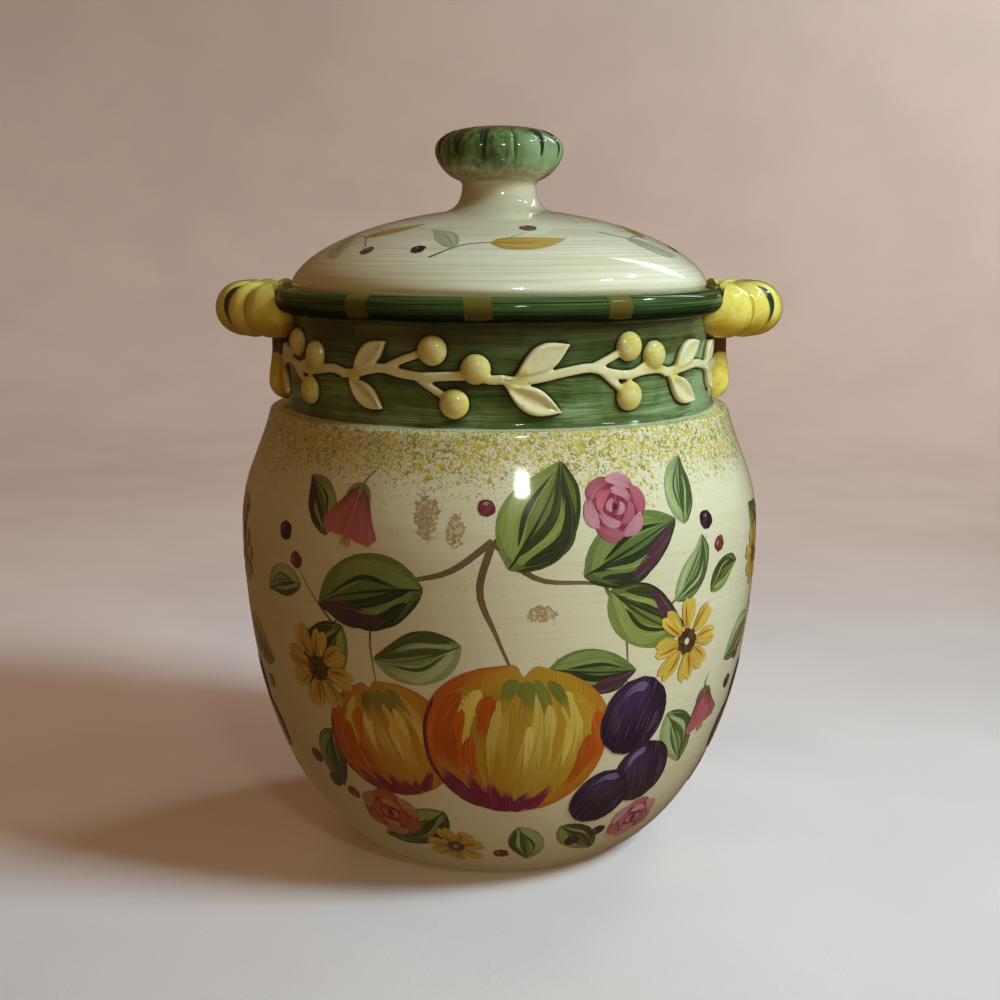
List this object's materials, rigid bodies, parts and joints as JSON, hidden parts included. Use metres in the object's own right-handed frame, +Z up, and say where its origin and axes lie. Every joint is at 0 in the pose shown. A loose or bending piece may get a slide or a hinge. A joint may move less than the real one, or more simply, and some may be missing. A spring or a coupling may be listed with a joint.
{
  "type": "ceramic canister",
  "caption": "Glazed round-bellied ceramic jar with a rolled rim, side lug handles and a raised vine round its neck, closed by a domed lift-off lid with a fluted knob.",
  "frame": {"origin": "centre of the jar's foot, on the surface it stands on", "axes": "+Z up along the jar's axis; the jar's front faces -Y; the handles are at +X and -X"},
  "size_m": [0.206, 0.1902, 0.261],
  "materials": {
    "jar_cream_glaze": "glossy clear glaze over cream slip, with a mottled olive shoulder, a brushed green neck and a dark green rim",
    "lid_cream_glaze": "glossy clear glaze over cream slip",
    "handle_yellow_glaze": "glossy golden yellow glaze with brown in the recesses",
    "vine_cream_glaze": "glossy ivory glaze with yellow on the berries",
    "knob_green_glaze": "glossy brushed green glaze over a cream stem"
  },
  "bodies": {
    "jar": {"jar_body": "jar_cream_glaze", "handle_left": "handle_yellow_glaze", "handle_left_drop": "handle_yellow_glaze", "handle_right": "handle_yellow_glaze", "handle_right_drop": "handle_yellow_glaze", "vine_sprig_front_1": "vine_cream_glaze", "vine_sprig_front_2": "vine_cream_glaze", "vine_sprig_front_3": "vine_cream_glaze", "vine_sprig_front_4": "vine_cream_glaze", "vine_sprig_back_1": "vine_cream_glaze", "vine_sprig_back_2": "vine_cream_glaze", "vine_sprig_back_3": "vine_cream_glaze", "vine_sprig_back_4": "vine_cream_glaze"},
    "lid": {"lid_dome": "lid_cream_glaze", "lid_knob": "knob_green_glaze"}
  },
  "joints": [
    {"name": "lid_lift", "type": "slide", "parent": "jar", "child": "lid", "axis": [0, 0, 1], "range_m": [0, 0.08]}
  ]
}
